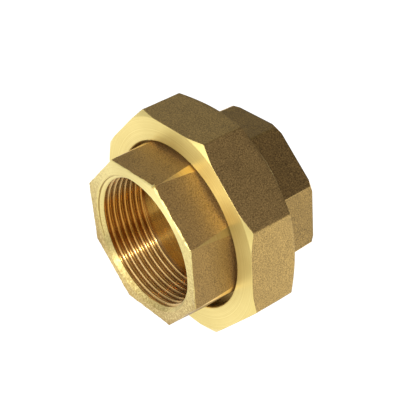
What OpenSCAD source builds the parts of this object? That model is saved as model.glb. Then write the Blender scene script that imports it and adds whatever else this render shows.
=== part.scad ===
// Pipe union with a swivel nut, threaded inside at both ends for 1 1/2 inch pipe.
// The bore lies along Y. The tail end faces -Y and the threaded body faces +Y.
// A station is a distance along the bore from the middle of the union, in mm.
// All the threads are right-hand helices of the true pitch, drawn with flat facets.

/* [Overall] */
// Length of the union with the nut tight, mm
overall_length = 51.6; // [46:0.1:60]
// Turn of both octagon ends from the flats of the nut, degrees
ends_turn = 1.1; // [-22:0.1:22]

/* [Nut] */
// Distance from the tail end's face to the front of the nut, mm
nut_setback = 15.3; // [12:0.1:20]
// Length of the nut along the bore, mm
nut_length = 18.2; // [16:0.1:24]
// Width of the nut across its flats, mm
nut_flats = 75; // [73:0.5:85]
// Diameter of the hole that the tail end passes through, mm
nut_opening = 60.3; // [60:0.1:63]
// Thickness of the nut's front wall, mm
nut_wall = 4.4; // [3:0.1:5]
// Diameter where the front chamfer starts on the face, mm
nut_front_turned = 76.8; // [74:0.1:80]
// Diameter where the rear chamfer starts on the face, mm
nut_rear_turned = 74.6; // [73:0.1:80]
// Slope of the nut's turned chamfers, degrees
nut_chamfer_slope = 30; // [15:1:45]

/* [Tail end] */
// Width across the octagon's flats at the face, mm
tail_face_flats = 54.5; // [54:0.1:55]
// Width across the octagon's flats at the flange, mm
tail_root_flats = 56.1; // [55:0.1:57]
// Diameter that the octagon's corners are turned down to at the flange, mm
tail_turned = 59.2; // [58:0.1:60]
// Diameter that the octagon's corners are turned down to at the face, mm
tail_face_turned = 58.9; // [58:0.1:60]
// Diameter of the flange held inside the nut, mm
flange_diameter = 65; // [63:0.1:65.4]
// Thickness of the flange, mm
flange_thickness = 4.7; // [3:0.1:5]
// Outer diameter of the thin lip that centres the gasket, mm
lip_diameter = 47.6; // [47:0.1:47.8]
// Length of the lip past the flange, mm
lip_length = 3; // [2:0.1:3.4]

/* [Gasket] */
// Outer diameter of the flat gasket, mm
gasket_outer = 64; // [60:0.1:65]
// Inner diameter of the flat gasket, mm
gasket_inner = 48; // [46:0.1:52]
// Thickness of the flat gasket, mm
gasket_thickness = 1.5; // [1:0.1:3]

/* [Threaded body] */
// Width across the octagon's flats at the face, mm
body_face_flats = 53.4; // [53:0.1:54]
// Width across the octagon's flats at the collar, mm
body_root_flats = 54.6; // [54:0.1:56]
// Diameter that the octagon's corners are turned down to at the collar, mm
body_turned = 58.2; // [57:0.1:60]
// Diameter that the octagon's corners are turned down to at the face, mm
body_end_turned = 57.4; // [57:0.1:60]
// Diameter where the chamfer starts on the face, mm
body_face_turned = 56; // [52:0.1:58]
// Length of the collar that carries the union thread, mm
collar_length = 7.2; // [6:0.1:9]
// Diameter of the recess that takes the tail end's lip, mm
recess_diameter = 48.2; // [48:0.1:50]
// Depth of that recess, mm
recess_depth = 2.2; // [2:0.1:3]

/* [Pipe thread] */
// Diameter of the pipe thread's crests, the widest that the standard allows, mm
pipe_minor = 45.485; // [44.845:0.001:45.485]
// Diameter of the pipe thread's roots, mm
pipe_major = 47.803; // [47:0.001:49]
// Pitch of the pipe thread, mm
pipe_pitch = 2.309; // [2:0.001:3]
// Depth from the tail end's face at which its thread stops, mm
tail_thread_depth = 18.4; // [12:0.1:20]
// Depth from the threaded body's face at which its thread stops, mm
body_thread_depth = 16.1; // [12:0.1:20]
// Depth of the first groove on the +X side of a socket, mm
thread_phase = 1.54; // [0.8:0.01:3.1]
// Diameter of the countersink at each mouth, mm
mouth_diameter = 48.8; // [48.2:0.1:50]
// Diameter of the plain bore behind the threads, mm
plain_bore = 46.2; // [46:0.1:47]
// Length left between the last groove and the plain bore, mm
thread_run_out = 0.9; // [0.5:0.1:2]

/* [Union thread] */
// Diameter over the thread's crests, mm
union_major = 68; // [66:0.1:69]
// Pitch of the union thread, mm
union_pitch = 2; // [1.5:0.1:2.5]
// Clear space between the two threads, mm
union_clearance = 0.15; // [0.1:0.01:0.2]
// Distance from the body's seat to the start of its thread, mm
union_start = 1.6; // [1:0.1:2]
// Number of turns of the body's thread
union_turns = 2.2; // [2:0.1:2.4]

/* [Hidden] */
tail_face = -overall_length / 2;
body_face = overall_length / 2;
nut_front = tail_face + nut_setback;
nut_rear = nut_front + nut_length;
shoulder = nut_front + nut_wall;
tail_end_station = shoulder + flange_thickness;
lip_end = tail_end_station + lip_length;
seat = tail_end_station + gasket_thickness;
collar_rear = seat + collar_length;
edge_break = 0.4;
opening_break = 0.3;
thread_lead = 0.6;
relief_length = 2;
side_angle = 45;
pipe_flat = pipe_pitch / 6;
pipe_flank_slope = tan(27.5);
mouth_depth = (mouth_diameter - pipe_minor) / 2;
pipe_overlap = 0.15;
union_root = union_major / 2 - 0.6134 * union_pitch;
union_flat = union_pitch / 8;
union_flank_slope = tan(30);
union_overlap = 0.12;
nut_thread_turns = 8;
facets_per_turn = 36;
through = 1;
$fn = 96;

// Puts a piece that was drawn upright on its station line onto the Y axis.
module along_bore() {
  rotate([-90, 0, 0]) children();
}

// A turned solid from [radius, station] points.
module turned(points) {
  rotate_extrude() polygon(points);
}

// An octagonal bar that can taper, with a flat facing each of X and Z.
module octagon(from_station, to_station, from_flats, to_flats) {
  flat_share = cos(side_angle / 2);
  translate([0, 0, from_station])
    rotate(side_angle / 2)
      cylinder(
        h = to_station - from_station,
        r1 = from_flats / 2 / flat_share,
        r2 = to_flats / 2 / flat_share,
        $fn = 8
      );
}

// One right-hand helical ridge. It sinks away over a third of a turn at each end.
module helix_ridge(start, turns, pitch, inner, outer, root_width, crest_width) {
  steps = round(turns * facets_per_turn);
  fade = facets_per_turn / 3;
  height = function(i) min(1, (i + 0.5) / fade, (steps - i + 0.5) / fade);
  ring = [
    for (i = [0 : steps])
      let (
        turn = 360 * i / facets_per_turn,
        middle = start + pitch * i / facets_per_turn,
        crest = inner + (outer - inner) * height(i),
        half = root_width / 2 - (root_width - crest_width) / 2 * height(i)
      )
      each [
        [inner * cos(turn), inner * sin(turn), middle - root_width / 2],
        [crest * cos(turn), crest * sin(turn), middle - half],
        [crest * cos(turn), crest * sin(turn), middle + half],
        [inner * cos(turn), inner * sin(turn), middle + root_width / 2]
      ]
  ];
  sides = [
    for (i = [0 : steps - 1], k = [0 : 3])
      let (
        a = 4 * i + k,
        b = 4 * i + (k + 1) % 4,
        c = b + 4,
        d = a + 4
      )
      each [[a, b, c], [a, c, d]]
  ];
  last = 4 * steps;
  caps = [[3, 2, 1, 0], [last, last + 1, last + 2, last + 3]];
  polyhedron(ring, concat(sides, caps));
}

// Space inside an end: countersink, helical thread, then the plain bore.
module socket_space(thread_depth, length) {
  inner = pipe_minor / 2 - pipe_overlap;
  start = thread_phase - pipe_pitch;
  turns = (thread_depth - thread_run_out - start) / pipe_pitch;
  groove_width = pipe_flat + 2 * pipe_flank_slope * (pipe_major / 2 - inner);
  turned([
    [0, -through],
    [mouth_diameter / 2 + through, -through],
    [pipe_minor / 2, mouth_depth],
    [pipe_minor / 2, thread_depth],
    [plain_bore / 2, thread_depth],
    [plain_bore / 2, length + through],
    [0, length + through]
  ]);
  helix_ridge(start, turns, pipe_pitch, inner, pipe_major / 2, groove_width, pipe_flat);
}

// Width of the union thread's ridge at a radius.
function ridge_width(radius) =
  union_flat + 2 * (union_major / 2 - radius) * union_flank_slope;

// The union thread, made larger all round by the given gap.
module union_thread(start, turns, root, gap) {
  helix_ridge(
    start, turns, union_pitch, root, union_major / 2 + 2 * gap,
    ridge_width(root) + 2 * gap, union_flat
  );
}

// Near end: octagon with a pipe socket, the flange that the nut pulls on, and the lip.
module tail_end() {
  root = shoulder + through;
  color([0.74, 0.58, 0.3])
    along_bore()
      difference() {
        union() {
          intersection() {
            rotate(-ends_turn)
              octagon(tail_face, root, tail_face_flats, tail_root_flats);
            turned([
              [0, tail_face],
              [tail_face_turned / 2, tail_face],
              [tail_turned / 2, root],
              [0, root]
            ]);
          }
          turned([
            [0, shoulder],
            [flange_diameter / 2 - edge_break, shoulder],
            [flange_diameter / 2, shoulder + edge_break],
            [flange_diameter / 2, tail_end_station - edge_break],
            [flange_diameter / 2 - edge_break, tail_end_station],
            [lip_diameter / 2, tail_end_station],
            [lip_diameter / 2, lip_end],
            [0, lip_end]
          ]);
        }
        translate([0, 0, tail_face])
          socket_space(tail_thread_depth, lip_end - tail_face);
      }
}

// Octagonal nut with a front wall that catches the flange and a thread behind it.
module union_nut() {
  slope = tan(nut_chamfer_slope);
  corner = nut_flats / 2 / cos(side_angle / 2) + through;
  minor = union_root + union_clearance;
  relief = union_major / 2 + edge_break;
  color([0.8, 0.64, 0.33])
    along_bore()
      difference() {
        intersection() {
          octagon(nut_front, nut_rear, nut_flats, nut_flats);
          turned([
            [0, nut_front],
            [nut_front_turned / 2, nut_front],
            [corner, nut_front + (corner - nut_front_turned / 2) * slope],
            [corner, nut_rear - (corner - nut_rear_turned / 2) * slope],
            [nut_rear_turned / 2, nut_rear],
            [0, nut_rear]
          ]);
        }
        turned([
          [0, nut_front - through],
          [nut_opening / 2 + opening_break + through, nut_front - through],
          [nut_opening / 2, nut_front + opening_break],
          [nut_opening / 2, shoulder],
          [relief, shoulder],
          [relief, shoulder + relief_length],
          [minor, shoulder + relief_length + relief - minor],
          [minor, nut_rear - relief + minor],
          [relief + through, nut_rear + through],
          [0, nut_rear + through]
        ]);
        union_thread(
          seat + union_start - nut_thread_turns / 2 * union_pitch,
          nut_thread_turns, minor - union_overlap, union_clearance
        );
      }
}

// Flat ring squeezed between the two seats.
module seal_gasket() {
  color([0.32, 0.36, 0.33])
    along_bore()
      turned([
        [gasket_inner / 2, tail_end_station],
        [gasket_outer / 2, tail_end_station],
        [gasket_outer / 2, seat],
        [gasket_inner / 2, seat]
      ]);
}

// Far end: octagon with a pipe socket, and a collar with the union thread.
module threaded_body() {
  root = collar_rear - collar_length / 2;
  color([0.7, 0.54, 0.28])
    along_bore()
      difference() {
        union() {
          intersection() {
            rotate(-ends_turn)
              octagon(root, body_face, body_root_flats, body_face_flats);
            turned([
              [0, root],
              [body_turned / 2, root],
              [body_end_turned / 2, body_face - (body_end_turned - body_face_turned) / 2],
              [body_face_turned / 2, body_face],
              [0, body_face]
            ]);
          }
          turned([
            [0, seat],
            [union_root - thread_lead, seat],
            [union_root, seat + thread_lead],
            [union_root, collar_rear - edge_break],
            [union_root - edge_break, collar_rear],
            [0, collar_rear]
          ]);
          union_thread(seat + union_start, union_turns, union_root - union_overlap, 0);
        }
        translate([0, 0, body_face])
          rotate([180, 0, 0])
            socket_space(body_thread_depth, body_face - seat);
        turned([
          [0, seat - through],
          [recess_diameter / 2, seat - through],
          [recess_diameter / 2, seat + recess_depth],
          [0, seat + recess_depth]
        ]);
      }
}

tail_end();
union_nut();
seal_gasket();
threaded_body();
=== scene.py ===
"""A brass pipe union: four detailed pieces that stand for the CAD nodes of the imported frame.

Lengths are in millimetres and angles in degrees, unless a name or comment says otherwise. The
bore lies along Y. A station is a place along it, and a depth is measured inwards from an end face.
"""

import math

import bmesh
import bpy
import numpy as np
from mathutils import Matrix, Vector, noise


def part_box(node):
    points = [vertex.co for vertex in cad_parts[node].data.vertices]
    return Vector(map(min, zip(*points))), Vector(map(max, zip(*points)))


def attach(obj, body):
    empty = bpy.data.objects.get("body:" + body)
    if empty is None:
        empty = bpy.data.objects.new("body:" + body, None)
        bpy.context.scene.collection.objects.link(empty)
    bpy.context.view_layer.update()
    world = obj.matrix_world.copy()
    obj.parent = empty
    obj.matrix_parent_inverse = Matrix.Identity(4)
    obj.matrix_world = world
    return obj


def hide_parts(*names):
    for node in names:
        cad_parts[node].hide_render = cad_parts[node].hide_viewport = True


MM = 0.001

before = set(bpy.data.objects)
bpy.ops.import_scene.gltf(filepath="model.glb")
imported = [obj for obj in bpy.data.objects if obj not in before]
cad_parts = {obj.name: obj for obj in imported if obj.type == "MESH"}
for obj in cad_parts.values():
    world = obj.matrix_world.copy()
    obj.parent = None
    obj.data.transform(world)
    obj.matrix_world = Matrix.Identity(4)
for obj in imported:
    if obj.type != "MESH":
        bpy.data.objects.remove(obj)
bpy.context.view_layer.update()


def ends_of(node):
    """The first and last station of a CAD node."""
    low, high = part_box(node)
    return round(low[1] / MM, 3), round(high[1] / MM, 3)


# ---------------------------------------------------------------- sizes

TAIL_FACE, LIP_END = ends_of("tail_end")
NUT_FRONT, NUT_REAR = ends_of("union_nut")
TAIL_END, SEAT = ends_of("seal_gasket")
BODY_FACE = ends_of("threaded_body")[1]
NUT_APOTHEM = round(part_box("union_nut")[1][2] / MM, 3)

# The rest follow part.scad. Threads, edges and turned corners differ from it by up to 0.4.
SHOULDER = -6.1
COLLAR_REAR = 7.3
FLANGE = 32.5
COLLAR = 32.7
RIM_BREAK = 0.4
FINE_BREAK = 0.05
EDGE_STEP = 0.12  # rows this near to an edge keep it crisp
OCTAGON_FOOT = 30.2  # radius of the ring where an octagon meets its flange or collar

# Octagons: half the width across flats and the radius of the turned corners, at the face, and
# what each gains from there to the flange or collar.
TAIL_APOTHEM = 27.25
TAIL_APOTHEM_GAIN = 0.8
TAIL_TURNED = 29.57
TAIL_TURNED_GAIN = 0.03
TAIL_ROUNDING = 0.12
BODY_APOTHEM = 26.7
BODY_TURNED = 28.85
BODY_GAIN = 0.6
BODY_ROUNDING = 0.3
BODY_FACE_TURNED = 28.0  # the body's corners where its face begins
BODY_EDGE_LENGTH = 0.6  # they widen from there over this depth
BODY_EDGE_TURNED = 28.6
TOP_FULLER = np.array([0, 0, 0.2, 0, 0, 0, 0, 0])  # the body's top flat stands out this much
ENDS_TURN = 1.1  # both end octagons stand turned this much from the nut
UNEVEN = 0.07  # how far the forged flats swell, at a radius of SWELL_RADIUS
SWELL_RADIUS = 30
OCTAGON_ROWS = 22
MID_OCTAGON = -16  # the circles of both ends take their columns' angles from the octagon here

NUT_ROUNDING = 0.9
NUT_OPENING = 30.15
OPENING_BREAK = 0.3
NUT_FACE_RINGS = (31.5, 33.0, 34.5, 36.0)
NUT_FRONT_TURNED = 38.4  # outer radius of the flat part of the front
NUT_REAR_TURNED = 37.3
NUT_SLOPE = math.tan(math.radians(30))
NUT_RELIEF = 34.4
NUT_ROWS = 16
RELIEF_END = SHOULDER + 1.9

MOUTH = 24.4  # radius of the countersunk mouth, whose cone narrows by 1 for each 1 of depth
FACE_STEPS = (0.12, 0.25, 0.6, 1.4, 2.1)  # rings across an end face, outwards from its mouth
PLAIN = 23.1
LIP = 23.8
LIP_BREAK = 0.15
RECESS = 24.1
RECESS_DEPTH = 2.2

PIPE_MINOR = 22.65
PIPE_DEPTH = 1.35
PIPE_CREST = 5.0  # depth of one crest at angle 0
PIPE_PITCH = 2.309
TAIL_CUT = 18.4  # depth of the last cut of the thread
BODY_CUT = 16.1
RUN_OUT = 0.5
PIPE_FADE = 2.2  # length over which the last cuts get shallower
LAST_CUT_SHARE = 0.3  # how deep the last cut still is
PLAIN_OVERLAP = 0.4  # the plain bore starts this much before the last cut
TAIL_PLAIN_STEPS = (5.6, 2.6, 1.2, 0.6)  # rings of the plain bore, inwards of the last cut
BODY_PLAIN_STEP = 1.3
NICK = 23.85  # radius at which the first groove breaks into the mouth's cone
FIRST_GROOVE = 1.6  # depth that the first groove reaches

UNION_ROOT = 32.773
UNION_CREST = 34.0
UNION_PITCH = 2.0
UNION_PHASE = 1.7  # station of one crest of the female thread at angle 0
UNION_PLAY = (0.15, 0.1)  # radial room at the roots and at the crests
MALE_FADES = (1.3, 1.6)  # lengths over which the male thread fades at the collar and the nose
NOSE = 32.15  # radius where the seat meets the male thread
NOSE_LENGTH = 0.65

SHARP_ANGLE = math.radians(38)
SAME_PLACE = 2e-7  # metres
NO_LENGTH = 1e-8  # metres
ON_CONE = 1e-6  # a point this near to a cone counts as on it

# ---------------------------------------------------------------- wear and burrs

WEAR_LEAST = 0.1
WEAR_RANGE = 0.4
RAGGED_SCALE = 0.35
BURR_SIDE = math.radians(48)  # the side of the face with the heaviest burrs
BURR_CORNER = 67.5 + ENDS_TURN  # the corner with the largest burr
BURR_CORNER_WIDTH = 3.5
BURR_RADIUS = 28
BURR_FORWARD = 0.25
BURR_OUTWARD = 0.45

# ---------------------------------------------------------------- finishes and light

GRAIN_SCALE = 2500  # noise cells per metre, as are the scales below
PATCH_SCALE = 260
BROAD_SCALE = 38
MARKS_SCALE = 2600
TONE_SCALE = 45
GRIT_SCALE = 1500
RUBBER_SCALE = 900
BLAST_ROUGH = 0.22
BLAST_BUMP = 0.45
BLAST_DEPTH = 0.00012  # metres, as are the two depths below
MARKS_DEPTH = 0.00003
RUBBER_DEPTH = 0.00005
NUT_REFLECTION_STATIONS = (-14.5, -10.5)  # stations between which a painted reflection of the nut brightens the near flats towards it
TURN_ROUGH = 0.31
TURN_ANISO = 0.93
BORE_ROUGH = 0.2
BORE_ANISO = 0.97
PAINTED_REFLECTION_SIDE = math.radians(192)  # the side of a bore where a warm orange reflection is painted
PAINTED_REFLECTION_TINT = (0.95, 0.7, 0.34)
PAINTED_REFLECTION_EDGE = (0.84, 0.95)  # cosines of the angle from that side, where the tint starts and is full
MARKS_SHADE = (0.86, 0.82, 0.72)  # colour of the deepest tool marks, as a share of the surface's
WHITE = (1, 1, 1)
BLACK = (0, 0, 0)

BLASTED, TURNED, BORED, FACED, CORNER_PAINTED_REFLECTION, PAINTED_SHADE, SMOOTH = range(7)
# The tail's first corner is painted in shade.
TAIL_CORNERS = [PAINTED_SHADE] + 7 * [CORNER_PAINTED_REFLECTION]
# The body's third corner keeps the blasted skin in place of its turned finish, a painted shade
# where the nut shades it.
BODY_CORNERS = 2 * [CORNER_PAINTED_REFLECTION] + [BLASTED] + 5 * [CORNER_PAINTED_REFLECTION]

FLOOR_GLOW = 1.16
FLOOR_HALF = 1.5  # metres
ROOM_GLOW = 0.18
SOFT_PANELS = [  # azimuth, elevation, half width, brightness
    (44, 42, 14, 1.7),
    (-5, 3, 20, 3.2),
    (-15, 10, 40, 0.6),
    (100, 28, 12, 1.7),
    (-74, 45, 28, 0.8),
    (-10, 52, 14, 1.1),
    (-126, 33, 20, 0.04),
]
ROSE_HEADING = (132, 42)  # the room is slightly rose on this side
ROSE_TINT = (1.0, 0.9, 1.12)
ROSE_EDGE = (0.7, 0.95)  # cosines of the angle from that heading
KEY_HEADING = (45, 39)
KEY_SIZE = 0.04  # metres
KEY_POWER = 3.0

CAMERA_AZIMUTH = 53.577
CAMERA_ELEVATION = 33.319
CAMERA_ROLL = -4.871
CAMERA_SPIN = -1.07  # the whole view turned about the bore
CAMERA_AIM = NUT_FRONT + 15.0
CAMERA_DISTANCE = 382.1475
CAMERA_RIGHT = -4.125
CAMERA_UP = 2.4825
CAMERA_LENS = 101.8629
CAMERA_SENSOR = 36


# ---------------------------------------------------------------- mesh helpers

# Columns run once round a piece. Each eighth has the columns of a flat, closer together towards
# its ends, and then those of the corner after it. FLAT_SHARES are shares of half the flat.
FLAT_ENDS = [1.0, 0.996, 0.985, 0.96, 0.92]
FLAT_MIDDLE = list(np.linspace(-FLAT_ENDS[-1], FLAT_ENDS[-1], 33)[1:-1])
FLAT_SHARES = np.array([-f for f in FLAT_ENDS] + FLAT_MIDDLE + FLAT_ENDS[::-1])
CORNER_SHARES = np.array([0.08, 0.3, 0.5, 0.7, 0.92])
SECTOR = len(FLAT_SHARES) + len(CORNER_SHARES)
COLUMNS = 8 * SECTOR
EIGHTH = math.radians(45)

# Whether the face to the right of each column lies on a corner.
ON_CORNER = np.array([c % SECTOR >= len(FLAT_SHARES) - 1 for c in range(COLUMNS)])


def octagon_ring(apothem, turned=None, rounding=0.2, turn=0.0):
    """(x, z) of every column on an octagon whose corners are turned to a radius, or rounded.

    apothem is one number, or one for each flat. Flat 0 faces +X before the turn."""
    apothem = np.broadcast_to(np.asarray(apothem, float), (8,))
    soft = (apothem - rounding) * math.tan(EIGHTH / 2)
    half = soft
    if turned is not None:
        half = np.minimum(soft, np.sqrt(np.maximum(turned * turned - apothem * apothem, 0)))
    start = np.arctan2(half, apothem)
    out = np.zeros((COLUMNS, 2))
    for k in range(8):
        angle = math.radians(turn) + EIGHTH * k
        normal = np.array([math.cos(angle), math.sin(angle)])
        along = np.array([-math.sin(angle), math.cos(angle)])
        flat = apothem[k] * normal + np.outer(FLAT_SHARES * half[k], along)
        if half[k] < soft[k]:
            swing = start[k] + CORNER_SHARES * (EIGHTH - start[k] - start[(k + 1) % 8])
            centre = np.zeros(2)
            radius = turned
        else:
            swing = CORNER_SHARES * EIGHTH
            centre = (apothem[k] - rounding) * normal + soft[k] * along
            radius = rounding
        arc = np.outer(np.cos(swing), normal) + np.outer(np.sin(swing), along)
        out[k * SECTOR : (k + 1) * SECTOR] = np.vstack([flat, centre + radius * arc])
    return out


def swell(xz, station):
    """How far the forging stands out at each point, about -1 to 1, the same on every run."""
    places = [Vector((x, s, z)) for (x, z), s in zip(xz, station)]
    return np.array([noise.noise(p * 0.11) + 0.4 * noise.noise(p * 0.37) for p in places])


class Piece:
    """A closed ring-shaped mesh made of bands of quads that go once round the bore."""

    def __init__(self, name, base):
        """base is a ring of points. Circles and threads keep its columns' angles."""
        self.name = name
        self.angles = np.unwrap(np.arctan2(base[:, 1], base[:, 0]))
        self.verts = []
        self.faces = []
        self.mats = []
        self.last = None

    def add_points(self, x, station, z):
        """Adds one point for each column, and returns their numbers."""
        first = len(self.verts)
        self.verts.extend(map(tuple, np.column_stack([x, station, z])))
        return first + np.arange(COLUMNS)

    def ring(self, xz, station, mat=TURNED, corner_mats=None, uneven=0.0):
        """Joins a ring of points to the one before it, and returns it."""
        station = np.broadcast_to(np.asarray(station, float), (COLUMNS,))
        if uneven:
            xz = xz * (1 + uneven * swell(xz, station)[:, None] / SWELL_RADIUS)
        ring = self.add_points(xz[:, 0], station, xz[:, 1])
        if self.last is not None:
            self.band(self.last, ring, mat, corner_mats)
        self.last = ring
        return ring

    def circle(self, radius, station, mat=TURNED):
        xz = radius * np.column_stack([np.cos(self.angles), np.sin(self.angles)])
        return self.ring(xz, station, mat)

    def band(self, low, high, mat, corner_mats=None):
        """Quads between two rings. corner_mats lists the materials of the eight corners."""
        for c in range(COLUMNS):
            d = (c + 1) % COLUMNS
            self.faces.append((low[c], low[d], high[d], high[c]))
            on_corner = corner_mats is not None and ON_CORNER[c]
            self.mats.append(corner_mats[c // SECTOR] if on_corner else mat)

    def thread(self, start, end, phase, pitch, shares, radius, mat, finish=None):
        """A band whose rows follow a right-hand helix, from station start to station end.

        A crest lies at phase - pitch * angle / turn. shares says where the rows lie, as shares of
        a pitch after a crest. radius(share, station) gives the surface. finish(radius, station)
        gives the material of every point, where it isn't mat all over."""
        turns = self.angles / (2 * math.pi)
        low = min(start, end)
        high = max(start, end)
        first_lap = math.floor((low - phase) / pitch) - 1
        last_lap = math.ceil((high - phase) / pitch) + 3
        rows = []
        row_mats = []
        for lap in range(first_lap, last_lap):
            for share in shares:
                s = np.clip(phase + pitch * (lap + share - turns), low, high)
                u = (s - phase) / pitch + turns
                r = radius(u - np.floor(u), s)
                rows.append(self.add_points(r * np.cos(self.angles), s, r * np.sin(self.angles)))
                row_mats.append(finish(r, s) if finish else np.full(COLUMNS, mat))
        lap_rows = len(shares)
        for j in range(len(rows) - 1):
            for c in range(COLUMNS):
                if c + 1 < COLUMNS:
                    beside = rows[j][c + 1]
                    beside_next = rows[j + 1][c + 1]
                else:
                    beside = rows[max(j - lap_rows, 0)][0]
                    beside_next = rows[max(j + 1 - lap_rows, 0)][0]
                self.faces.append((rows[j][c], beside, beside_next, rows[j + 1][c]))
                self.mats.append(int(max(row_mats[j][c], row_mats[j + 1][c])))
        if start > end:
            rows.reverse()
        self.band(self.last, rows[0], mat)
        self.last = rows[-1]

    def build(self, materials, turn_round=False):
        """Makes the Blender object. turn_round turns it half a turn about Z."""
        bm = bmesh.new()
        verts = [bm.verts.new(place) for place in np.array(self.verts) * MM]
        for corners, mat in zip(self.faces, self.mats):
            ids = list(dict.fromkeys(corners))
            if len(ids) < 3:
                continue
            try:
                face = bm.faces.new([verts[i] for i in ids])
            except ValueError:
                continue  # the same face is there already
            face.material_index = mat
            face.smooth = True
        bmesh.ops.remove_doubles(bm, verts=bm.verts, dist=SAME_PLACE)
        bmesh.ops.dissolve_degenerate(bm, dist=NO_LENGTH, edges=bm.edges)
        bmesh.ops.recalc_face_normals(bm, faces=bm.faces)
        for edge in bm.edges:
            if len(edge.link_faces) == 2:
                one, other = edge.link_faces
                crisp = one.material_index != other.material_index
                edge.smooth = not (crisp or edge.calc_face_angle(0) > SHARP_ANGLE)
        mesh = bpy.data.meshes.new(self.name)
        bm.to_mesh(mesh)
        bm.free()
        if turn_round:
            mesh.transform(Matrix.Rotation(math.pi, 4, "Z"))
        for material in materials:
            mesh.materials.append(material)
        obj = bpy.data.objects.new(self.name, mesh)
        bpy.context.scene.collection.objects.link(obj)
        return obj


# ---------------------------------------------------------------- thread shapes

def whole_pitch(shares, values, middle):
    """A thread's form over a whole pitch, from its first half and its value in the middle."""
    mirrored = [1 - share for share in shares[:0:-1]]
    return shares + [0.5] + mirrored, values + [middle] + values[:0:-1]


# Shares of a pitch after a crest, and how deep the cut is there.
PIPE_SHARES, PIPE_CUTS = whole_pitch(
    [0, 0.05, 0.1, 0.15, 0.2, 0.25, 0.3, 0.35, 0.4, 0.45],
    [0, 0.015, 0.065, 0.16, 0.3, 0.48, 0.68, 0.84, 0.94, 0.985],
    1.0,
)

# Shares of a pitch after a crest, and how high the ridge is there.
UNION_SHARES, UNION_RIDGE = whole_pitch(
    [0, 0.0625, 0.11, 0.3, 0.37, 0.42],
    [1, 0.98, 0.9, 0.25, 0.03, 0],
    0,
)


def pipe_radius(face, last_cut):
    """Radius of a threaded mouth whose face is at the given station and looks towards -Y."""

    def radius(share, station):
        depth = station - face
        cut = np.interp(share, PIPE_SHARES + [1], PIPE_CUTS + [0])
        fade = np.interp(depth, [last_cut - PIPE_FADE, last_cut], [1.0, LAST_CUT_SHARE])
        thread = PIPE_MINOR + PIPE_DEPTH * cut * fade
        cone = MOUTH - depth
        plain = np.where(depth > last_cut - PLAIN_OVERLAP, PLAIN, 0.0)
        return np.maximum(np.maximum(thread, cone), plain)

    return radius


def pipe_finish(face, cone_mat):
    """Material along a threaded mouth: its countersunk cone, the first groove in painted shade, the
    bore.
    """

    def finish(radius, station):
        depth = station - face
        near_face = depth < FIRST_GROOVE
        on_cone = (radius <= MOUTH - depth + ON_CONE) | (near_face & (radius < NICK))
        return np.where(on_cone, cone_mat, np.where(near_face, PAINTED_SHADE, BORED))

    return finish


def add_pipe_thread(piece, face, last_cut, face_ring, mat):
    """The pipe thread from inside outwards, which then closes the piece onto its face."""
    piece.thread(
        face + last_cut + RUN_OUT, face, face + PIPE_CREST, PIPE_PITCH, PIPE_SHARES,
        pipe_radius(face, last_cut), BORED, pipe_finish(face, mat),
    )
    piece.band(piece.last, face_ring, mat)


def male_radius(first, last):
    """Radius of the union thread on the body, which fades out at both ends."""
    full = [first + MALE_FADES[0], last - MALE_FADES[1]]

    def radius(share, station):
        ridge = np.interp(share, UNION_SHARES + [1], UNION_RIDGE + [1])
        fade = np.interp(station, [first, *full, last], [0, 1, 1, 0])
        return UNION_ROOT + (UNION_CREST - UNION_ROOT) * ridge * fade

    return radius


def female_radius(first, last):
    """Radius of the union thread in the nut, with a cone at both ends."""
    at_roots, at_crests = UNION_PLAY

    def radius(share, station):
        ridge = np.interp(share, UNION_SHARES + [1], UNION_RIDGE + [1])
        thread = UNION_ROOT + at_roots + (UNION_CREST + at_crests - UNION_ROOT) * ridge
        lead_in = NUT_RELIEF - (first - station)
        run_out = NUT_RELIEF - (station - last)
        return np.maximum(np.maximum(thread, lead_in), run_out)

    return radius


# ---------------------------------------------------------------- the pieces

def ragged(points):
    """A rough value, 0 to 1.1, for each point round an edge, the same on every run."""
    broad = [noise.noise(Vector((x, z, 3.0)) * RAGGED_SCALE) for x, z in points]
    fine = [noise.noise(Vector((x, z, 9.0)) * RAGGED_SCALE * 4) for x, z in points]
    return np.clip(0.45 + np.array(broad) * 0.6 + np.array(fine) * 0.5, 0, 1.1)


def burrs(angles):
    """Height of the small burrs left round the faced edge, heaviest at its upper right."""
    heavy = np.clip(np.cos(angles - BURR_SIDE) * 2.6 - 1.6, 0, 1)
    from_corner = (np.degrees(angles) - BURR_CORNER + 180) % 360 - 180
    at_corner = np.exp(-((from_corner / BURR_CORNER_WIDTH) ** 2))
    rough = []
    for angle in angles:
        place = Vector((BURR_RADIUS * math.cos(angle), BURR_RADIUS * math.sin(angle), 4.0))
        rough.append(max(0.0, noise.noise(place * 0.9) + 0.1))
    return np.array(rough) * (0.35 + 1.5 * heavy + 2.2 * at_corner)


def tail_octagon(station):
    """The tail end's octagon, which widens towards the flange."""
    share = (station - TAIL_FACE) / (SHOULDER - TAIL_FACE)
    apothem = TAIL_APOTHEM + TAIL_APOTHEM_GAIN * share
    turned = TAIL_TURNED + TAIL_TURNED_GAIN * share
    return octagon_ring(apothem, turned, TAIL_ROUNDING, ENDS_TURN)


def add_worn_edge(piece):
    """The outer edge of the tail's face: worn back unevenly, with small burrs pushed over it."""
    edge = tail_octagon(TAIL_FACE)
    wear = WEAR_LEAST + WEAR_RANGE * ragged(edge)
    burr = burrs(piece.angles)
    reach = np.hypot(*edge.T)

    def moved_out(distance):
        return edge * (1 + distance / reach)[:, None]

    side = TAIL_FACE + 0.8 * wear
    piece.ring(moved_out(-wear - 0.1), TAIL_FACE, FACED)
    piece.ring(moved_out(-wear), TAIL_FACE + 0.01 - BURR_FORWARD * burr, FACED)
    piece.ring(moved_out(BURR_OUTWARD * burr - 0.02), side, FACED)
    piece.ring(edge, side + 0.1 + 0.3 * burr, FACED)


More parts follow.
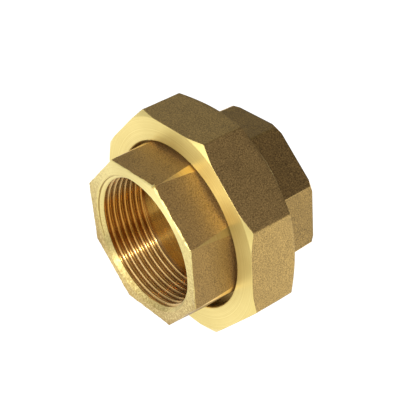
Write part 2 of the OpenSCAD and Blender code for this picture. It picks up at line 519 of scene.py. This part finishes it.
def tail_piece(materials):
    """Outwards over the face, along the outside to the lip, and back through the bore."""
    piece = Piece("tail_end_brass", tail_octagon(MID_OCTAGON))
    face_rings = [piece.circle(MOUTH + step, TAIL_FACE, FACED) for step in FACE_STEPS]
    add_worn_edge(piece)
    start = TAIL_FACE + 1.0
    piece.ring(tail_octagon(start), start, BLASTED, TAIL_CORNERS)
    for s in np.linspace(start + 0.5, SHOULDER - 0.4, OCTAGON_ROWS):
        piece.ring(tail_octagon(s), s, BLASTED, TAIL_CORNERS, UNEVEN)
    # The flange's front face is painted in shade.
    piece.circle(OCTAGON_FOOT, SHOULDER, PAINTED_SHADE)
    piece.circle(FLANGE - RIM_BREAK, SHOULDER, PAINTED_SHADE)
    piece.circle(FLANGE, SHOULDER + RIM_BREAK)
    piece.circle(FLANGE, TAIL_END - RIM_BREAK)
    piece.circle(FLANGE - RIM_BREAK, TAIL_END)
    piece.circle(LIP + FINE_BREAK, TAIL_END)
    piece.circle(LIP, TAIL_END + FINE_BREAK)
    piece.circle(LIP, LIP_END - LIP_BREAK)
    piece.circle(LIP - LIP_BREAK, LIP_END)
    piece.circle(PLAIN + LIP_BREAK, LIP_END, SMOOTH)
    piece.circle(PLAIN, LIP_END - LIP_BREAK, SMOOTH)
    for step in TAIL_PLAIN_STEPS:
        piece.circle(PLAIN, TAIL_FACE + TAIL_CUT + step, SMOOTH)
    add_pipe_thread(piece, TAIL_FACE, TAIL_CUT, face_rings[0], FACED)
    return piece.build(materials)


def nut_piece(materials):
    """Outwards over the front, along the flats, over the rear, and back through the inside."""
    side = octagon_ring(NUT_APOTHEM, None, NUT_ROUNDING)
    piece = Piece("union_nut_brass", side)
    reach = np.hypot(side[:, 0], side[:, 1])
    outwards = side / reach[:, None]

    def ring(radius, station, mat=TURNED, uneven=0.0):
        piece.ring(outwards * radius[:, None], station, mat, None, uneven)

    first = piece.circle(NUT_OPENING + OPENING_BREAK, NUT_FRONT)
    piece.circle(NUT_OPENING + OPENING_BREAK + EDGE_STEP, NUT_FRONT)
    for radius in NUT_FACE_RINGS:
        piece.circle(radius, NUT_FRONT)

    # The front, its chamfer and the edge where the chamfer meets the flats.
    front = np.minimum(NUT_FRONT_TURNED, reach - 0.14)
    front_drop = np.maximum(0, reach - NUT_FRONT_TURNED) * NUT_SLOPE
    chamfer = reach - 0.05 - front
    ring(front - EDGE_STEP, NUT_FRONT)
    ring(front, NUT_FRONT)
    ring(front + 0.12 * chamfer, NUT_FRONT + 0.12 * front_drop)
    ring(front + 0.88 * chamfer, NUT_FRONT + 0.88 * front_drop + 0.01)
    ring(reach - 0.04, NUT_FRONT + front_drop + 0.03)
    ring(reach, NUT_FRONT + front_drop + 0.1, BLASTED)

    # The flats, from front to rear.
    rear_drop = np.maximum(0, reach - NUT_REAR_TURNED) * NUT_SLOPE
    head = NUT_FRONT + front_drop + 0.25
    tail = NUT_REAR - rear_drop - 0.2
    ring(reach, head, BLASTED)
    for share in np.linspace(0, 1, NUT_ROWS)[1:]:
        uneven = UNEVEN * math.sin(math.pi * share) ** 0.5
        ring(reach, head + (tail - head) * share, BLASTED, uneven)

    # The rear edge, its chamfer and the rear face.
    rear = np.minimum(NUT_REAR_TURNED, reach - 0.15)
    ring(reach - 0.03, NUT_REAR - rear_drop - 0.05, BLASTED)
    ring(reach - 0.1, NUT_REAR - rear_drop)
    ring(reach + 0.9 * (rear - reach), NUT_REAR - 0.1 * rear_drop)
    ring(rear, NUT_REAR)
    ring(rear - EDGE_STEP, NUT_REAR)
    piece.circle(NUT_RELIEF + 0.2, NUT_REAR)
    piece.circle(NUT_RELIEF + 0.1, NUT_REAR)

    # The inside: thread, relief, shoulder and opening.
    piece.thread(
        NUT_REAR, RELIEF_END, UNION_PHASE, UNION_PITCH, UNION_SHARES,
        female_radius(NUT_REAR, RELIEF_END), TURNED,
    )
    piece.circle(NUT_RELIEF, SHOULDER + 0.2)
    piece.circle(NUT_RELIEF - 0.2, SHOULDER)
    piece.circle(NUT_OPENING + 0.1, SHOULDER)
    piece.circle(NUT_OPENING, SHOULDER - 0.1)
    # The wall of the nut's opening is painted in shade.
    piece.circle(NUT_OPENING, NUT_FRONT + 0.35, PAINTED_SHADE)
    piece.circle(NUT_OPENING + FINE_BREAK, NUT_FRONT + 0.25, PAINTED_SHADE)
    piece.band(piece.last, first, TURNED)
    return piece.build(materials)


def body_octagon(station, turned=None, inset=0.0):
    """The body's octagon, where the body is drawn with its mouth towards -Y."""
    share = (station + BODY_FACE) / (BODY_FACE - COLLAR_REAR)
    turned = turned or BODY_TURNED + BODY_GAIN * share
    apothem = BODY_APOTHEM + BODY_GAIN * share - inset + TOP_FULLER
    return octagon_ring(apothem, turned, BODY_ROUNDING, -ENDS_TURN)


def body_piece(materials):
    """Drawn with its mouth towards -Y like the tail end, then turned round."""
    face = -BODY_FACE
    collar = -COLLAR_REAR
    seat = -SEAT
    piece = Piece("threaded_body_brass", body_octagon(MID_OCTAGON))
    face_rings = [piece.circle(MOUTH + step, face) for step in FACE_STEPS[:-1]]
    edge = body_octagon(face, BODY_FACE_TURNED + 0.15)
    piece.ring(body_octagon(face, BODY_FACE_TURNED, EDGE_STEP), face)
    piece.ring(body_octagon(face, BODY_FACE_TURNED + FINE_BREAK, FINE_BREAK), face + 0.03)
    piece.ring(edge, face + EDGE_STEP, BLASTED, BODY_CORNERS)
    start = face + BODY_EDGE_LENGTH
    piece.ring(body_octagon(start, BODY_EDGE_TURNED), start, BLASTED, BODY_CORNERS)
    for s in np.linspace(start + 0.2, collar - 0.4, OCTAGON_ROWS):
        piece.ring(body_octagon(s), s, BLASTED, BODY_CORNERS, UNEVEN)
    piece.circle(OCTAGON_FOOT, collar)
    piece.circle(COLLAR - RIM_BREAK, collar)
    piece.circle(COLLAR, collar + RIM_BREAK)
    first = collar + RIM_BREAK + FINE_BREAK
    last = seat - NOSE_LENGTH
    piece.thread(
        first, last, UNION_PITCH / 2 - UNION_PHASE, UNION_PITCH, UNION_SHARES,
        male_radius(first, last), TURNED,
    )
    piece.circle(NOSE, seat)
    piece.circle(RECESS + FINE_BREAK, seat)
    piece.circle(RECESS, seat - FINE_BREAK)
    piece.circle(RECESS, seat - RECESS_DEPTH)
    piece.circle(PLAIN + 0.1, seat - RECESS_DEPTH)
    piece.circle(PLAIN, seat - RECESS_DEPTH - 0.1, SMOOTH)
    piece.circle(PLAIN, face + BODY_CUT + BODY_PLAIN_STEP, SMOOTH)
    add_pipe_thread(piece, face, BODY_CUT, face_rings[0], TURNED)
    return piece.build(materials, turn_round=True)


def gasket_piece(materials):
    piece = Piece("seal_gasket_ring", octagon_ring(TAIL_APOTHEM, TAIL_TURNED + TAIL_TURNED_GAIN))
    middle = (TAIL_END + SEAT) / 2
    outer_edge = [(31.7, 0.75), (31.92, 0.7), (32.0, 0.5)]  # radius, distance from the middle
    inner_edge = [(24.0, 0.55), (24.08, 0.72), (24.3, 0.75)]
    outline = [(r, -s) for r, s in inner_edge] + [(28, -0.75)]
    outline += [(r, -s) for r, s in outer_edge] + [(32.02, 0)] + outer_edge[::-1]
    outline += [(28, 0.75)] + inner_edge[::-1] + [(23.98, 0)]
    only = 0  # the gasket has one material
    rings = [piece.circle(radius, middle + s, only) for radius, s in outline]
    piece.band(piece.last, rings[0], only)
    return piece.build(materials)


# ---------------------------------------------------------------- material helpers

def new_material(name):
    material = bpy.data.materials.new(name)
    material.use_nodes = True
    tree = material.node_tree
    return material, tree, tree.nodes["Principled BSDF"]


def link(tree, output, socket):
    tree.links.new(output, socket)


def object_coords(tree):
    return tree.nodes.new("ShaderNodeTexCoord").outputs["Object"]


def x_y_z(tree, coords):
    parts = tree.nodes.new("ShaderNodeSeparateXYZ")
    link(tree, coords, parts.inputs[0])
    return parts.outputs["X"], parts.outputs["Y"], parts.outputs["Z"]


def noise_tex(tree, coords, scale, detail, rough):
    texture = tree.nodes.new("ShaderNodeTexNoise")
    texture.inputs["Scale"].default_value = scale
    texture.inputs["Detail"].default_value = detail
    texture.inputs["Roughness"].default_value = rough
    link(tree, coords, texture.inputs["Vector"])
    return texture.outputs["Fac"]


def ramp(tree, value, stops):
    """A colour that follows value through stops of (value, colour)."""
    colour_ramp = tree.nodes.new("ShaderNodeValToRGB")
    elements = colour_ramp.color_ramp.elements
    while len(elements) < len(stops):
        elements.new(0.5)
    for element, (position, colour) in zip(elements, stops):
        element.position = position
        element.color = (*colour, 1)
    link(tree, value, colour_ramp.inputs["Fac"])
    return colour_ramp.outputs["Color"]


def math_node(tree, operation, *values):
    """values are numbers or the outputs of other nodes."""
    step = tree.nodes.new("ShaderNodeMath")
    step.operation = operation
    for socket, value in zip(step.inputs, values):
        if isinstance(value, (int, float)):
            socket.default_value = value
        else:
            link(tree, value, socket)
    return step.outputs[0]


def share_between(tree, length, low, high):
    """0 where a length in metres is low (mm) and 1 where it is high (mm), in a straight line."""
    span = (high - low) * MM
    return math_node(tree, "MULTIPLY_ADD", length, 1 / span, -low * MM / span)


def mix_colour(tree, share, one, other, mode="MIX"):
    """share, one and other are numbers, colours or the outputs of other nodes."""
    mix = tree.nodes.new("ShaderNodeMix")
    mix.data_type = "RGBA"
    mix.blend_type = mode
    for socket, value in ((mix.inputs[0], share), (mix.inputs[6], one), (mix.inputs[7], other)):
        if isinstance(value, (int, float)):
            socket.default_value = value
        elif isinstance(value, tuple):
            socket.default_value = (*value, 1)
        else:
            link(tree, value, socket)
    return mix.outputs[2]


def times(tree, one, other):
    return mix_colour(tree, 1.0, one, other, "MULTIPLY")


def add_bump(tree, shader, height, strength, distance):
    bump = tree.nodes.new("ShaderNodeBump")
    bump.inputs["Strength"].default_value = strength
    bump.inputs["Distance"].default_value = distance
    link(tree, height, bump.inputs["Height"])
    link(tree, bump.outputs["Normal"], shader.inputs["Normal"])


# ---------------------------------------------------------------- materials

def with_painted_nut_reflection(tree, colour, start, end):
    """colour with a painted reflection of the nut, up to a third brighter from station start to
    station end.

    A ramp holds no value above 1, so its stops are halved and the product is doubled."""
    station = x_y_z(tree, object_coords(tree))[1]
    share = share_between(tree, station, start, end)
    stops = [(0.0, (0.5, 0.5, 0.5)), (0.5, (0.52, 0.515, 0.53)), (1.0, (0.66, 0.63, 0.62))]
    halved = times(tree, colour, ramp(tree, share, stops))
    return times(tree, halved, (2.0, 2.0, 2.0))


def blasted_brass(name, dark, light, seed, rough=BLAST_ROUGH, painted_nut_reflection=None):
    """Shot-blasted forging skin: matt, speckled and slightly uneven.

    The last argument names the two stations between which it brightens towards the nut, a painted
    reflection of the nut."""
    material, tree, shader = new_material(name)
    shift = tree.nodes.new("ShaderNodeVectorMath")
    shift.operation = "ADD"
    shift.inputs[1].default_value = (seed, seed * 0.7, seed * 1.3)
    link(tree, object_coords(tree), shift.inputs[0])
    coords = shift.outputs[0]
    grain = noise_tex(tree, coords, GRAIN_SCALE, 1, 0.6)
    patch = noise_tex(tree, coords, PATCH_SCALE, 2, 0.6)
    broad = noise_tex(tree, coords, BROAD_SCALE, 2, 0.5)
    value = math_node(tree, "MULTIPLY_ADD", grain, 0.8, math_node(tree, "MULTIPLY", patch, 0.1))
    value = math_node(tree, "MULTIPLY_ADD", broad, 0.1, value)
    colour = ramp(tree, value, [(0.3, dark), (0.7, light)])
    if painted_nut_reflection:
        colour = with_painted_nut_reflection(tree, colour, *painted_nut_reflection)
    link(tree, colour, shader.inputs["Base Color"])
    shader.inputs["Metallic"].default_value = 0.9
    roughness = math_node(tree, "MULTIPLY_ADD", grain, 0.25, rough)
    link(tree, roughness, shader.inputs["Roughness"])
    add_bump(tree, shader, grain, BLAST_BUMP, BLAST_DEPTH)
    return material


def painted_groove_shade_and_reflection(tree, colour, radius, x, z, shade_by_radius):
    """Darkens colour from the crests to the grooves as painted shade, and paints a warm reflection
    on one side of the bore.
    """
    inner = shade_by_radius[0][0]
    outer = shade_by_radius[-1][0]
    share = share_between(tree, radius, inner, outer)
    stops = [((r - inner) / (outer - inner), tone) for r, tone in shade_by_radius]
    colour = times(tree, colour, ramp(tree, share, stops))
    across = math_node(tree, "MULTIPLY", x, math.cos(PAINTED_REFLECTION_SIDE))
    across = math_node(tree, "MULTIPLY_ADD", z, math.sin(PAINTED_REFLECTION_SIDE), across)
    facing = math_node(tree, "DIVIDE", across, radius)
    painted_reflection_ramp = ramp(tree, facing, [(PAINTED_REFLECTION_EDGE[0], WHITE), (PAINTED_REFLECTION_EDGE[1], PAINTED_REFLECTION_TINT)])
    return times(tree, colour, painted_reflection_ramp)


def scuffed_colour(tree, colour, coords, radius, x, z):
    """Scuffs the lower left of a turned face, less on its mouth's cone, browner at its rim."""
    height = math_node(tree, "MULTIPLY_ADD", x, 0.25, z)
    grit = noise_tex(tree, coords, GRIT_SCALE, 3, 0.7)
    height = math_node(tree, "MULTIPLY_ADD", height, 14, math_node(tree, "MULTIPLY", grit, 0.7))
    on_cone = share_between(tree, radius, MOUTH + 0.3, MOUTH - 0.2)
    on_cone = math_node(tree, "MINIMUM", math_node(tree, "MAXIMUM", on_cone, 0.0), 1.0)
    height = math_node(tree, "MULTIPLY_ADD", on_cone, 0.3, height)
    scuffs = ramp(
        tree, grit,
        [(0.36, (0.43, 0.30, 0.10)), (0.52, (0.56, 0.41, 0.15)), (0.68, (0.83, 0.68, 0.29))],
    )
    to_rim = share_between(tree, radius, 26.4, 28.9)
    scuffs = times(tree, scuffs, ramp(tree, to_rim, [(0.0, WHITE), (1.0, (0.8, 0.72, 0.62))]))
    return mix_colour(tree, ramp(tree, height, [(0.2, WHITE), (0.62, BLACK)]), colour, scuffs)


def turned_brass(name, colour, rough, groove, seed, aniso, shade_by_radius=None, worn=False):
    """Machined brass with fine tool marks round the bore.

    The list by radius gives (radius, colour) from the crests outwards, darker in the grooves as
    painted shade. worn scuffs the lower left."""
    material, tree, shader = new_material(name)
    coords = object_coords(tree)
    x, y, z = x_y_z(tree, coords)
    squared = math_node(tree, "MULTIPLY_ADD", z, z, math_node(tree, "MULTIPLY", x, x))
    radius = math_node(tree, "SQRT", squared)
    marks = tree.nodes.new("ShaderNodeTexNoise")
    marks.noise_dimensions = "1D"
    marks.inputs["Scale"].default_value = MARKS_SCALE
    marks.inputs["Detail"].default_value = 3
    run = math_node(tree, "MULTIPLY_ADD", y, 0.6, radius)
    link(tree, math_node(tree, "ADD", run, seed), marks.inputs["W"])
    tone = noise_tex(tree, coords, TONE_SCALE, 3, 0.6)
    shade = math_node(tree, "MULTIPLY", marks.outputs["Fac"], 0.55)
    shade = math_node(tree, "MULTIPLY_ADD", tone, 0.45, shade)
    deep = tuple(channel * share for channel, share in zip(colour, MARKS_SHADE))
    surface = ramp(tree, shade, [(0.35, deep), (0.65, colour)])
    if shade_by_radius:
        surface = painted_groove_shade_and_reflection(tree, surface, radius, x, z, shade_by_radius)
    if worn:
        surface = scuffed_colour(tree, surface, coords, radius, x, z)
    link(tree, surface, shader.inputs["Base Color"])
    shader.inputs["Metallic"].default_value = 1.0
    roughness = math_node(tree, "MULTIPLY_ADD", shade, 0.12, rough)
    link(tree, roughness, shader.inputs["Roughness"])
    shader.inputs["Anisotropic"].default_value = aniso
    shader.inputs["Anisotropic Rotation"].default_value = 0.25
    tangent = tree.nodes.new("ShaderNodeTangent")
    tangent.direction_type = "RADIAL"
    tangent.axis = "Y"
    link(tree, tangent.outputs[0], shader.inputs["Tangent"])
    add_bump(tree, shader, marks.outputs["Fac"], groove, MARKS_DEPTH)
    return material


def rubber(name):
    material, tree, shader = new_material(name)
    grain = noise_tex(tree, object_coords(tree), RUBBER_SCALE, 3, 0.6)
    stops = [(0.3, (0.012, 0.013, 0.012)), (0.7, (0.03, 0.032, 0.03))]
    link(tree, ramp(tree, grain, stops), shader.inputs["Base Color"])
    shader.inputs["Roughness"].default_value = 0.7
    add_bump(tree, shader, grain, 0.3, RUBBER_DEPTH)
    return material


# ---------------------------------------------------------------- camera and light

def heading(azimuth, elevation):
    """Unit vector: azimuth 0 is in front of the tail end, 90 on its right."""
    az = math.radians(azimuth)
    el = math.radians(elevation)
    return Vector((math.sin(az) * math.cos(el), -math.cos(az) * math.cos(el), math.sin(el)))


def add_camera():
    """A long lens that looks down on the tail end from its right."""
    back = heading(CAMERA_AZIMUTH, CAMERA_ELEVATION)
    level = heading(CAMERA_AZIMUTH + 90, 0)
    upright = back.cross(level)
    roll = math.radians(CAMERA_ROLL)
    right = level * math.cos(roll) + upright * math.sin(roll)
    up = upright * math.cos(roll) - level * math.sin(roll)
    spin = Matrix.Rotation(math.radians(CAMERA_SPIN), 3, "Y")
    back, right, up = spin @ back, spin @ right, spin @ up
    aim = Vector((0, CAMERA_AIM, 0))
    place = (aim + back * CAMERA_DISTANCE + right * CAMERA_RIGHT + up * CAMERA_UP) * MM
    lens = bpy.data.cameras.new("camera")
    lens.sensor_width = CAMERA_SENSOR
    lens.lens = CAMERA_LENS
    lens.clip_start = 0.01
    camera = bpy.data.objects.new("camera", lens)
    axes = Matrix((right, up, back)).transposed().to_4x4()
    camera.matrix_world = Matrix.Translation(place) @ axes
    bpy.context.scene.collection.objects.link(camera)
    bpy.context.scene.camera = camera


def add_key():
    """A small lamp beside the camera, one metre away, for the hard glints."""
    lamp = bpy.data.lights.new("key", "AREA")
    lamp.shape = "DISK"
    lamp.size = KEY_SIZE
    lamp.energy = KEY_POWER
    key = bpy.data.objects.new("key", lamp)
    key.location = heading(*KEY_HEADING)
    key.rotation_euler = (-key.location).to_track_quat("-Z", "Y").to_euler()
    bpy.context.scene.collection.objects.link(key)


def add_floor(height):
    """A plain white floor that glows, at a height in metres."""
    square = ((-1, -1), (1, -1), (1, 1), (-1, 1))
    corners = [(x * FLOOR_HALF, y * FLOOR_HALF, height) for x, y in square]
    mesh = bpy.data.meshes.new("floor")
    mesh.from_pydata(corners, [], [(0, 1, 2, 3)])
    material, _, shader = new_material("floor_white")
    shader.inputs["Base Color"].default_value = (0.05, 0.05, 0.05, 1)
    shader.inputs["Roughness"].default_value = 1.0
    shader.inputs["Specular IOR Level"].default_value = 0.0
    shader.inputs["Emission Color"].default_value = (1, 1, 1, 1)
    shader.inputs["Emission Strength"].default_value = FLOOR_GLOW
    mesh.materials.append(material)
    floor = bpy.data.objects.new("floor", mesh)
    bpy.context.scene.collection.objects.link(floor)


def cosine_from(tree, coords, direction):
    """The cosine of the angle between the view outwards and a direction."""
    dot = tree.nodes.new("ShaderNodeVectorMath")
    dot.operation = "DOT_PRODUCT"
    dot.inputs[1].default_value = direction
    link(tree, coords, dot.inputs[0])
    return dot.outputs["Value"]


def add_world(ambient, panels):
    """A dim room with soft bright panels, slightly rose on one side."""
    world = bpy.data.worlds.new("studio")
    bpy.context.scene.world = world
    world.use_nodes = True
    tree = world.node_tree
    coords = tree.nodes.new("ShaderNodeTexCoord").outputs["Generated"]
    total = ambient
    for azimuth, elevation, half_width, brightness in panels:
        cosine = cosine_from(tree, coords, heading(azimuth, elevation))
        facing = math_node(tree, "MAXIMUM", cosine, 0.0)
        falloff = math.log(0.5) / math.log(math.cos(math.radians(half_width)))
        lobe = math_node(tree, "POWER", facing, falloff)
        total = math_node(tree, "MULTIPLY_ADD", lobe, brightness, total)
    background = tree.nodes["Background"]
    cosine = cosine_from(tree, coords, heading(*ROSE_HEADING))
    rose = ramp(tree, cosine, [(ROSE_EDGE[0], WHITE), (ROSE_EDGE[1], ROSE_TINT)])
    link(tree, rose, background.inputs["Color"])
    link(tree, total, background.inputs["Strength"])


# ---------------------------------------------------------------- the union

bright = turned_brass(
    "brass_turned", (0.89, 0.73, 0.28),
    rough=TURN_ROUGH, groove=0.7, seed=0.0, aniso=TURN_ANISO,
)
bored = turned_brass(
    "brass_bored", WHITE,
    rough=BORE_ROUGH, groove=0.3, seed=1.7, aniso=BORE_ANISO,
    # Darker and browner towards the roots of the grooves: painted shade.
    shade_by_radius=[
        (22.6, (0.66, 0.46, 0.20)),
        (23.1, (0.67, 0.46, 0.19)),
        (23.5, (0.68, 0.45, 0.17)),
        (23.75, (0.66, 0.43, 0.15)),
        (23.9, (0.62, 0.40, 0.13)),
        (24.0, (0.58, 0.37, 0.12)),
    ],
)
faced = turned_brass(
    "brass_faced", (0.86, 0.73, 0.31),
    rough=TURN_ROUGH, groove=0.35, seed=0.4, aniso=TURN_ANISO, worn=True,
)
# The turned corners of the ends, their orange tone a painted reflection of the brass beside them,
# such as the nut's front.
corner_painted_reflection = turned_brass(
    "brass_corner_painted_reflection", (0.93, 0.65, 0.25),
    rough=0.26, groove=0.1, seed=2.9, aniso=0.75,
)
# A darker, rougher brass that paints shade: in the first groove, on the flange's front, in the
# nut's opening and on one corner of the tail.
painted_shade_brass = turned_brass(
    "brass_painted_shade", (0.50, 0.36, 0.13),
    rough=0.45, groove=0.35, seed=2.9, aniso=0.5,
)
smooth = turned_brass(
    "brass_smooth_bore", (0.80, 0.52, 0.13),
    rough=0.17, groove=0.15, seed=1.7, aniso=BORE_ANISO,
)
finishes = [bright, bored, faced, corner_painted_reflection, painted_shade_brass, smooth]  # in the order of TURNED to SMOOTH

# The near flats carry a painted reflection of the nut.
skin_near = blasted_brass(
    "brass_blasted_near", dark=(0.19, 0.12, 0.043), light=(0.50, 0.322, 0.108),
    seed=0.0, rough=0.4, painted_nut_reflection=NUT_REFLECTION_STATIONS,
)
skin_nut = blasted_brass(
    "brass_blasted_nut", dark=(0.20, 0.13, 0.043), light=(0.63, 0.42, 0.135), seed=0.31
)
skin_far = blasted_brass(
    "brass_blasted_far", dark=(0.13, 0.084, 0.027), light=(0.49, 0.315, 0.095), seed=0.57
)

tail = tail_piece([skin_near, *finishes])
nut = nut_piece([skin_nut, *finishes])
body = body_piece([skin_far, *finishes])
gasket = gasket_piece([rubber("gasket_rubber")])

for obj, body_name, cad_node, slot in (
    (tail, "tail", "tail_end", "tail_brass"),
    (nut, "nut", "union_nut", "nut_brass"),
    (body, "body_end", "threaded_body", "body_brass"),
    (gasket, "seal", "seal_gasket", "gasket"),
):
    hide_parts(cad_node)
    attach(obj, body_name)

add_camera()
add_floor(-NUT_APOTHEM * MM)
add_world(ROOM_GLOW, SOFT_PANELS)
add_key()
bpy.context.scene.view_settings.view_transform = "Standard"
